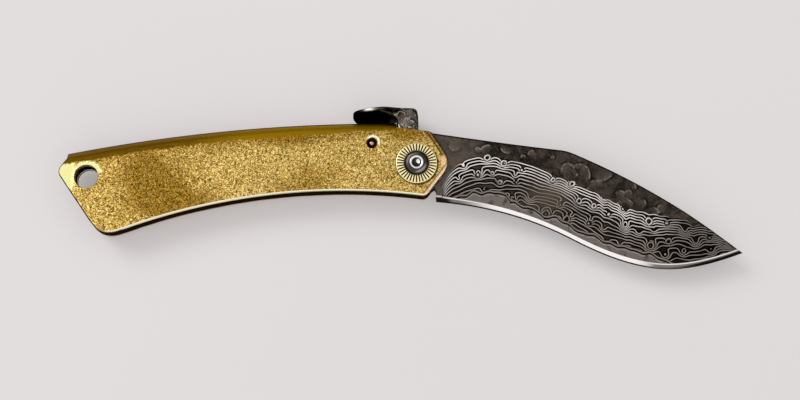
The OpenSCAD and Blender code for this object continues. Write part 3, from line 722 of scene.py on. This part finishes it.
def forgedScale(g, look, point):
    # forge skin: dark greenish and brown blotches, a paler worn cloud here and there, and fine flecks
    blotch, fleck = g.noise(point, 0.22, 4.0, 0.6, 0.8), g.noise(point, 2.2, 3.0, 0.6)
    skin = g.over("scaleDark", look, [
        (g.rise(blotch, 0.38, 0.6), "scale"),
        (g.rise(g.noise(point, 0.5, 3.0, 0.6), 0.5, 0.72) * 0.6, "scaleBrown"),
        (g.rise(g.noise(point, 0.8, 4.0, 0.6, 1.2), 0.52, 0.36) * 0.6, "scaleDark"),
        (g.rise(fleck, 0.52, 0.8) * 0.3, "scaleRing")])
    return skin, blotch, fleck


def layeredSteel(g, look):
    point, x, y, z = g.pivotSpace()
    belowBorder, overCore, overBevel, underBack, overRing, overDot, overMark, markSide, count, perMm = (
        g.attribute(name) for name in ("belowBorder", "overCore", "overBevel", "underBack", "overRing",
                                       "overDot", "overMark", "markSide", "layerCount", "layersPerMm"))
    worn, fleck = g.noise(point, 0.35, 2.0), g.noise(point, 3.0, 3.0, 0.6)
    # the layers: light lines with dark gaps beside them, on a field that darkens towards the tip
    off = abs(g.fraction(count) - 0.5)
    halfLine = look["lineWidth"] / 2 * g.smaller(g.larger(perMm, 0.35), 2.2)
    line = g.rise(off, halfLine * 1.4, halfLine * 0.6)
    lineTone = g.over("line", look, [
        (g.rise(belowBorder, 1.0, 7.5), "lowLine"),
        (g.rise(x, *look["linesGrey"]), "tipLine"),
        (g.rise(worn, 0.45, 0.7) * 0.35, "between")])
    # over them lie the rings and dots, each in a gap of its own, and a hazy place
    toMark = g.smaller(overRing, overDot)
    haze = g.bell(g.spread(x, y, *look["hazyPlace"]))
    # and the bare core over the bevel, rimmed and blotched, with a light line in a dark gap above it
    inCore = g.rise(overCore, 0.04, -0.04) * g.rise(toMark, 0.25, 0.35)
    bare = g.over("core", look, [
        (g.bell((overCore + 0.22) / 0.16), "coreRim"),
        (g.rise(fleck, 0.4, 0.85) * 0.35, "between"),
        (g.rise(g.noise(point, 0.5, 3.0, 0.6, 0.6), 0.52, 0.66) * 0.85, "coreDark")])
    etched = g.over("between", look, [
        (g.rise(fleck, 0.4, 0.8) * 0.3, "core"),
        (g.rise(x, *look["fieldDarkens"]) * 0.75, "gap"),
        (g.rise(off, halfLine * 5.5, halfLine * 2.6), "gap"),
        (line, lineTone),
        (g.rise(toMark, 0.5, 0.3), "gap"),
        (g.rise(overRing, -0.55, -0.75) * 0.5, "core"),
        (g.bell(overRing / 0.15), lineTone),
        (g.rise(overDot, 0.12, -0.06), lineTone),
        (haze * 0.72, "haze"),
        (g.rise(overCore, 1.15, 0.8), "between"),
        (g.rise(overCore, 0.5, 0.3) * 0.9, "gap"),
        (g.bell((overCore - 0.62) / 0.15) * 0.85, "lowLine"),
        (inCore, bare)])
    # the pattern comes up slowly at the heel; above it the forge skin has pale arcs with a dark side, and a
    # painted line of shade runs along the back
    fadeIn = g.rise(x, *look["patternFrom"]) * 1.5 + 0.18
    ground = g.larger(g.rise(belowBorder, 0.0, fadeIn), g.rise(overRing, 0.36, 0.26))
    skin, blotch, fleckSkin = forgedScale(g, look, point)
    uneven = g.rise(g.noise(point, 0.9, 2.0), 0.3, 0.6)
    skin = g.over(skin, look, [
        (g.bell((markSide - 0.5) / 0.3) * g.rise(overMark, 1.2, 0.5) * uneven * 0.8, "gap"),
        (g.rise(markSide, 0.0, -0.4) * g.rise(overMark, 1.8, 0.2) * 0.12, "scaleRing"),
        (g.bell(overMark / 0.16) * (0.25 + uneven * 0.7), "scaleRing"),
        (g.rise(x, 20.0, 10.0) * 0.14, "scaleRing"),
        (g.rise(underBack, 0.6, 0.3) * 0.9, "gap")])
    # the bevel, its light and shade painted: a white highlight above a dark line of shade, greyer at the
    # heel, grey with a bright painted upper line along the belly
    onBevel = g.rise(overBevel, 0.05, -0.02)
    whiteHighlight = g.rise(x, *look["whiteFrom"]) * g.rise(x + worn * 3.0, *look["whiteTo"])
    whiteEnd = -look["whiteBevel"]
    low = overBevel + (fleck - 0.5) * 0.15 - g.rise(x, *look["bevelNarrows"]) * 0.45
    low = g.rise(low, whiteEnd, whiteEnd - 0.12)
    greyLow = g.rise(x, 54.0, 60.0) * g.rise(overBevel, -1.3, -1.1) * g.rise(x, 72.0, 62.0) * 0.8
    bevel = g.over("bevelGrey", look, [
        (g.rise(x, *look["heelShade"]) * 0.97, "bevelLowShade"),
        (whiteHighlight, "bevel"),
        (g.bell((overBevel + 0.16) / 0.17) * (1 - whiteHighlight) * 0.9, "bevel"),
        (low, g.mix(greyLow, look["bevelLowShade"], look["bevelGrey"]))])
    colour = g.over(skin, look, [(ground, etched), (onBevel, bevel)])
    etch = ground * (1 - onBevel)
    rough = 0.42 - line * etch * 0.1 - onBevel * 0.2
    raised = g.larger(line, inCore) * etch * 0.5 + fleck * 0.15
    raised = raised + (blotch * 0.5 + fleckSkin * 0.4) * (1 - ground)
    g.metal(colour, rough, g.bump(raised * (1 - onBevel * 0.95), 0.03), edge=0.5)


# Tang and lever, forged in one with the blade

lever = {
    "outerRail": [(0.6, 3.0), (0.6, 9.0), (0.55, 13.2), (0.1, 15.15), (-2.0, 15.28), (-6.5, 14.7),
                  (-10.5, 14.35), (-13.5, 13.95), (-16.3, 13.75)],
    "innerRail": [(-5.0, 3.0), (-5.0, 9.0), (-5.0, 11.2), (-5.2, 12.6), (-6.3, 13.3), (-8.2, 13.45),
                  (-11.0, 13.2), (-13.7, 12.85), (-16.3, 12.75)],
    "neckHalf": 1.8, "padHalf": 5.98, "padShoulder": 9.4, "padEnd": 16.3,
    # where the pad widens, back from the pivot; its rear half widens sooner, and is bent down by the droop
    "nearFlare": (3.4, 9.4), "farFlare": (2.9, 5.2), "droop": 0.85, "droopFrom": 1.6, "droopTo": 6.0,
    "squareness": 5.0, "endSquareness": 2.9, "stations": 120, "drawnToEnd": 0.92, "around": 56,
    "pad": tone(12, 10, 9), "padSide": tone(66, 63, 60), "padRim": tone(236, 230, 224), "shadeFrom": 5.2,
    "rubbedNeck": ((-3.0, 11.6), (1.0, 1.3)),
}
tang = {"radius": 7.6, "bore": 1.54, "half": 1.8, "chamfer": 0.25, "around": 128}


def rail(points, t):
    # clamped quadratic B-spline over the points, t from 0 to 1
    p = np.array(points, float)
    p = np.vstack([2 * p[0] - p[1], p, 2 * p[-1] - p[-2]])
    legs = len(p) - 2
    s = np.clip(t * (legs - 1) + 0.5, 0.5, legs - 0.5)
    i = np.minimum(s.astype(int), legs - 1)
    f = (s - i)[:, None]
    return 0.5 * (1 - f) ** 2 * p[i] + (0.5 + f - f * f) * p[i + 1] + 0.5 * f * f * p[i + 2]


def leverPiece(material):
    # a squared ellipse between the outer and inner rail, as wide as the pad's outline at its middle
    b = lever
    t = np.linspace(0, 1, b["stations"]) ** b["drawnToEnd"]
    outer, inner = rail(b["outerRail"], t), rail(b["innerRail"], t)
    middle, half = (outer + inner) / 2, (outer - inner) / 2
    back = -middle[:, 0]
    near, far = (b["neckHalf"] + (b["padHalf"] - b["neckHalf"]) * smoothStep(back, *flare)
                 for flare in (b["nearFlare"], b["farFlare"]))
    share = np.clip((back - b["padShoulder"]) / (b["padEnd"] - b["padShoulder"]), 0, 0.9995)
    end = (1 - share ** b["endSquareness"]) ** (1 / b["endSquareness"])
    a = np.linspace(0, 2 * math.pi, b["around"], endpoint=False)
    c, s = (np.sign(f) * np.abs(f) ** (2 / b["squareness"]) for f in (np.cos(a), np.sin(a)))
    x = middle[:, :1] + half[:, :1] * c
    y = middle[:, 1:] + half[:, 1:] * c
    z = np.where(s > 0, (near * end)[:, None] * s, (far * end)[:, None] * s)
    y = y - b["droop"] * smoothStep(-z, b["droopFrom"], b["droopTo"])
    points = np.stack([x, y, z], -1).reshape(-1, 3)
    faces = loopFaces(b["stations"], b["around"])
    ends = [points[:b["around"]].mean(0), points[-b["around"]:].mean(0)]
    first, last = len(points), (b["stations"] - 1) * b["around"]
    for j in range(b["around"]):
        k = (j + 1) % b["around"]
        faces += [[first, k, j], [first + 1, last + j, last + k]]
    across = np.append(np.tile(c, b["stations"]), (0, 0))
    points = np.vstack([points, ends])
    return surfacePiece("thumb_lever", points, faces, material, 40, {"acrossLever": across})


def tangPiece(material):
    # a chamfered flat ring turned round the pivot axis
    b, c = tang, tang["chamfer"]
    upper = [(b["radius"], b["half"] - c), (b["radius"] - c, b["half"]), (b["bore"], b["half"])]
    r, z = np.array([(r, -z) for r, z in upper[::-1]] + upper).T
    a = np.linspace(0, 2 * math.pi, b["around"], endpoint=False)[:, None]
    points = np.stack([r * np.cos(a), r * np.sin(a), z + 0 * a], -1).reshape(-1, 3)
    faces = [[k % len(points) for k in face] for face in loopFaces(b["around"] + 1, len(r))]
    return surfacePiece("round_tang", points, faces, material, 30, {})


def forgedSteel(g, look):
    # forge skin with the layers' swirls on the worn faces of neck and flare
    point, x, y, z = g.pivotSpace()
    skin, blotch, fleck = forgedScale(g, look, point)
    across = g.attribute("acrossLever")
    off = abs(g.fraction(g.noise(point, 0.26, 1.0, 0.5, 1.6) * 5.5 + across * 1.4) - 0.5)
    line = g.rise(off, 0.17, 0.07)
    lighterPlace = g.bell(g.spread(x, y, *lever["rubbedNeck"]))
    # the pad: painted shade, near black, with a painted lit grey side, a painted highlight on it, and a thin
    # painted highlight at its root
    onPad = g.rise(x, -lever["shadeFrom"], -lever["shadeFrom"] - 2.5) * g.rise(y, 10.0, 11.0)
    side = g.rise(abs(z), 5.2, 5.7)
    padShading = g.over("pad", lever, [
        (g.rise(fleck, 0.5, 0.75) * 0.25, "padSide"),
        (side * 0.9, "padSide"),
        (side * g.bell((x + 11.9) / 1.1) * 0.95, "padRim")])
    rootHighlight = g.bell((across + 0.8) / 0.12) * g.rise(z, 1.0, 2.0) * g.rise(x, -4.5, -6.0)
    colour = g.over(skin, look, [
        (g.rise(off, 0.4, 0.2) * 0.8, "gap"),
        (g.rise(blotch, 0.5, 0.35) * 0.25, "lowLine"),
        (line * g.rise(blotch, 0.3, 0.5) * 0.85, "swirl"),
        (lighterPlace * 0.4, "lowLine"),
        (onPad * 0.92, padShading),
        (rootHighlight * g.rise(x, -9.6, -8.8) * 0.9, lever["padRim"])])
    g.metal(colour, 0.36 - onPad * 0.06, g.bump(line * 0.5 + fleck * 0.3, 0.03), edge=0.12)


layered, forged = finish(layeredSteel, bladeLook), finish(forgedSteel, bladeLook)
for piece in (bladeBlank(layered), leverPiece(forged), tangPiece(forged)):
    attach(piece, "blade")
    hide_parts("blade")
    print(piece.name, "made:", len(piece.data.polygons), "faces")


# Pivot: washers, rivet and stop pin keep their CAD shapes

pivotLook = {
    "ray": tone(255, 246, 190), "raySide": tone(236, 202, 112), "groove": tone(44, 28, 10),
    "washerTop": 3.9, "grooveDepth": 0.3, "rays": 36,
    "cup": tone(78, 73, 71), "cupEdge": tone(22, 18, 17), "cupHighlight": tone(176, 170, 172), "cupRadius": 3.15,
    "rim": tone(240, 236, 228), "dimple": tone(60, 56, 54), "dimpleRadius": 1.25,
    "pin": tone(206, 160, 140), "pinMark": tone(70, 40, 34),
}


def rayedBrass(g, look):
    # pale rays, each of its own tone, with dark grooves between them, partly patina and partly painted shade,
    # and painted shade under the cup's rim
    point, x, y, z = g.pivotSpace()
    turn = g.math("ARCTAN2", y, x) * (look["rays"] / (2 * math.pi))
    own = g.noise(g.joined(g.math("FLOOR", turn), 0.0), 1.7, 0.0)
    sunk = g.rise(abs(z), look["washerTop"] - 0.2, look["washerTop"] - look["grooveDepth"] + 0.01)
    cupRimShade = g.rise(g.length2(x, y), look["cupRadius"] + 0.35, look["cupRadius"] + 0.05)
    colour = g.over("ray", look, [
        (own * 0.35, "raySide"),
        (g.rise(g.noise(point, 3.0, 2.0), 0.5, 0.75) * 0.3, "raySide"),
        (sunk, "groove"),
        (cupRimShade * 0.85, "groove")])
    g.metal(colour, 0.22 + sunk * 0.3, g.bump(g.noise(point, 5.0, 2.0), 0.012))


def cupSteel(g, look):
    # a turned dome with a painted highlight in a crescent towards the blade's edge, and a little on the other
    # side
    point, x, y, z = g.pivotSpace()
    r = g.length2(x, y)
    turned = g.noise(g.joined(r * 9.0, g.math("ARCTAN2", y, x) * 0.5), 1.0, 3.0)
    highlightCrescent = g.larger(g.rise(x * 0.6 - y * 0.8, 1.5, 2.3), g.rise(y - x * 0.3, 1.9, 2.4) * 0.6)
    colour = g.over("cup", look, [
        (turned * 0.5, "cupEdge"),
        (g.rise(r, 2.7, 2.95), "cupEdge"),
        (highlightCrescent * g.bell((r - 2.35) / 0.3) * 0.8, "cupHighlight")])
    g.metal(colour, 0.24 + turned * 0.12, g.bump(turned, 0.01))


def peenedSteel(g, look):
    # the rivet's bright rim, its dimple and outer edge in painted shade with a painted highlight spot in the
    # dimple;
    # the stop pin's end with a dark mark
    point, x, y, z = g.pivotSpace()
    r = g.length2(x, y)
    worn = g.noise(point, 2.4, 3.0)
    pinX, pinY = handleLook["pin"]
    toPin = g.length2(x - pinX, y - pinY)
    colour = g.over("dimple", look, [
        (g.rise(r, look["dimpleRadius"] - 0.1, look["dimpleRadius"] + 0.05), "rim"),
        (g.rise(toPin, 2.0, 1.8), g.mix(g.rise(toPin, 0.3, 0.55), look["pin"], look["pinMark"])),
        (g.rise(r, 1.58, 1.76) * g.rise(toPin, 3.0, 5.0) * 0.8, "dimple"),
        (g.rise(g.length2(x - 0.42, y - 0.35), 0.62, 0.4), "rim"),
        (g.rise(worn, 0.5, 0.8) * 0.3, "dimple")])
    g.metal(colour, 0.2 + worn * 0.12, g.bump(worn, 0.02))


for build, nodes in ((rayedBrass, ("front_sunburst_washer", "rear_sunburst_washer")),
                     (cupSteel, ("front_cup_washer", "rear_cup_washer")),
                     (peenedSteel, ("pivot_rivet", "stop_pin"))):
    material = finish(build, pivotLook)
    for name in nodes:
        mesh = frame["nodes"][name].data
        mesh.materials.clear()
        mesh.materials.append(material)
print("pivot finished")


# Floor, light and camera

studio = {
    # the floor and the lamp in metres
    "floorHalf": 3.0, "floorDepth": 5e-5,
    "floor": tone(226, 222, 221), "floorSpot": tone(223, 219, 218), "floorRoughness": 0.7, "floorGlow": 0.38,
    "lampPlace": (-1.15, 0.9, 1.45), "lampSize": 1.0, "lampPower": 18.0,
    # the sky's strength in all, away from its bright side and on it; then near the horizon, likewise
    "skyTone": tone(252, 250, 252),
    "sky": 0.96, "dim": 0.28, "overhead": 1.0, "overheadAt": (-0.15, -0.25, 0.96),
    "low": 0.18, "lowBright": 0.9, "lowTurn": -65.0,
    # the camera in millimetres from the pivot, and the directions behind and above it
    "camera": (-6.62, -108.61, 436.49), "back": (-0.00543, -0.22282, 0.97484),
    "up": (-0.00124, 0.97486, 0.22282),
    "lens": 78.75, "sensor": 36.0,
}


def paleTable(g, look):
    tint = g.mix(g.noise(g.node("TexCoord", {}, 3), 9.0, 2.0), look["floor"], look["floorSpot"])
    # part of its brightness is its own for the camera and in reflections, so the shadows stay light
    direct, glossy, through = g.node("LightPath", {}, (0, 3, 6))
    seen = g.smaller(direct + glossy + through, 1.0)
    sheet = g.node("BsdfPrincipled", {"Base Color": tint, "Roughness": look["floorRoughness"]})
    glow = g.node("Emission", {"Color": tint, "Strength": 1.0})
    both = g.node("MixShader", {0: seen * look["floorGlow"], 1: sheet, 2: glow})
    g.node("OutputMaterial", {"Surface": both})


def floorPiece():
    half, depth = studio["floorHalf"], studio["floorDepth"]
    mesh = bpy.data.meshes.new("floor")
    corners = [(-half, -half, -depth), (half, -half, -depth), (half, half, -depth), (-half, half, -depth)]
    mesh.from_pydata(corners, [], [(0, 1, 2, 3)])
    mesh.materials.append(finish(paleTable, studio))
    floor = put("floor", mesh)


def lamp():
    data = bpy.data.lights.new("softbox", "AREA")
    data.shape, data.size, data.energy = "SQUARE", studio["lampSize"], studio["lampPower"]
    made = put("softbox", data)
    made.location = studio["lampPlace"]
    made.rotation_mode = "QUATERNION"
    made.rotation_quaternion = (-made.location).to_track_quat("-Z", "Y")


def world():
    # a studio that is bright overhead and towards the viewer, dimmer behind, and dark near the horizon
    # except on one side
    made = bpy.data.worlds.new("studio")
    made.use_nodes = True
    g, s = Graph(made.node_tree), studio
    x, y, z = g.split(g.node("TexCoord", {}))
    sideX, sideY, sideZ = s["overheadAt"]
    strength = s["dim"] + g.rise(x * sideX + y * sideY + z * sideZ, 0.2, 0.85) * (s["overhead"] - s["dim"])
    turn = math.radians(s["lowTurn"])
    along = (x * math.cos(turn) + y * math.sin(turn)) / g.larger(g.length2(x, y), 0.001)
    horizon = g.rise(along, math.cos(math.radians(80)), math.cos(math.radians(40)))
    horizon = s["low"] + horizon * (s["lowBright"] - s["low"])
    low = g.rise(z, 0.5, 0.36)
    strength = (strength * (1 - low) + low * horizon) * s["sky"]
    sky = g.node("Background", {"Color": s["skyTone"], "Strength": strength})
    g.node("OutputWorld", {"Surface": sky})
    bpy.context.scene.world = made


def camera():
    data = bpy.data.cameras.new("camera")
    data.lens, data.sensor_width = studio["lens"], studio["sensor"]
    made = put("camera", data)
    back = Vector(studio["back"]).normalized()
    right = Vector(studio["up"]).cross(back).normalized()
    turned = Matrix((right, back.cross(right), back)).transposed().to_4x4()
    made.matrix_world = Matrix.Translation(place(studio["camera"]).tolist()) @ turned
    bpy.context.scene.camera = made


floorPiece()
lamp()
world()
camera()
bpy.context.scene.view_settings.view_transform = "Standard"
print("studio set")
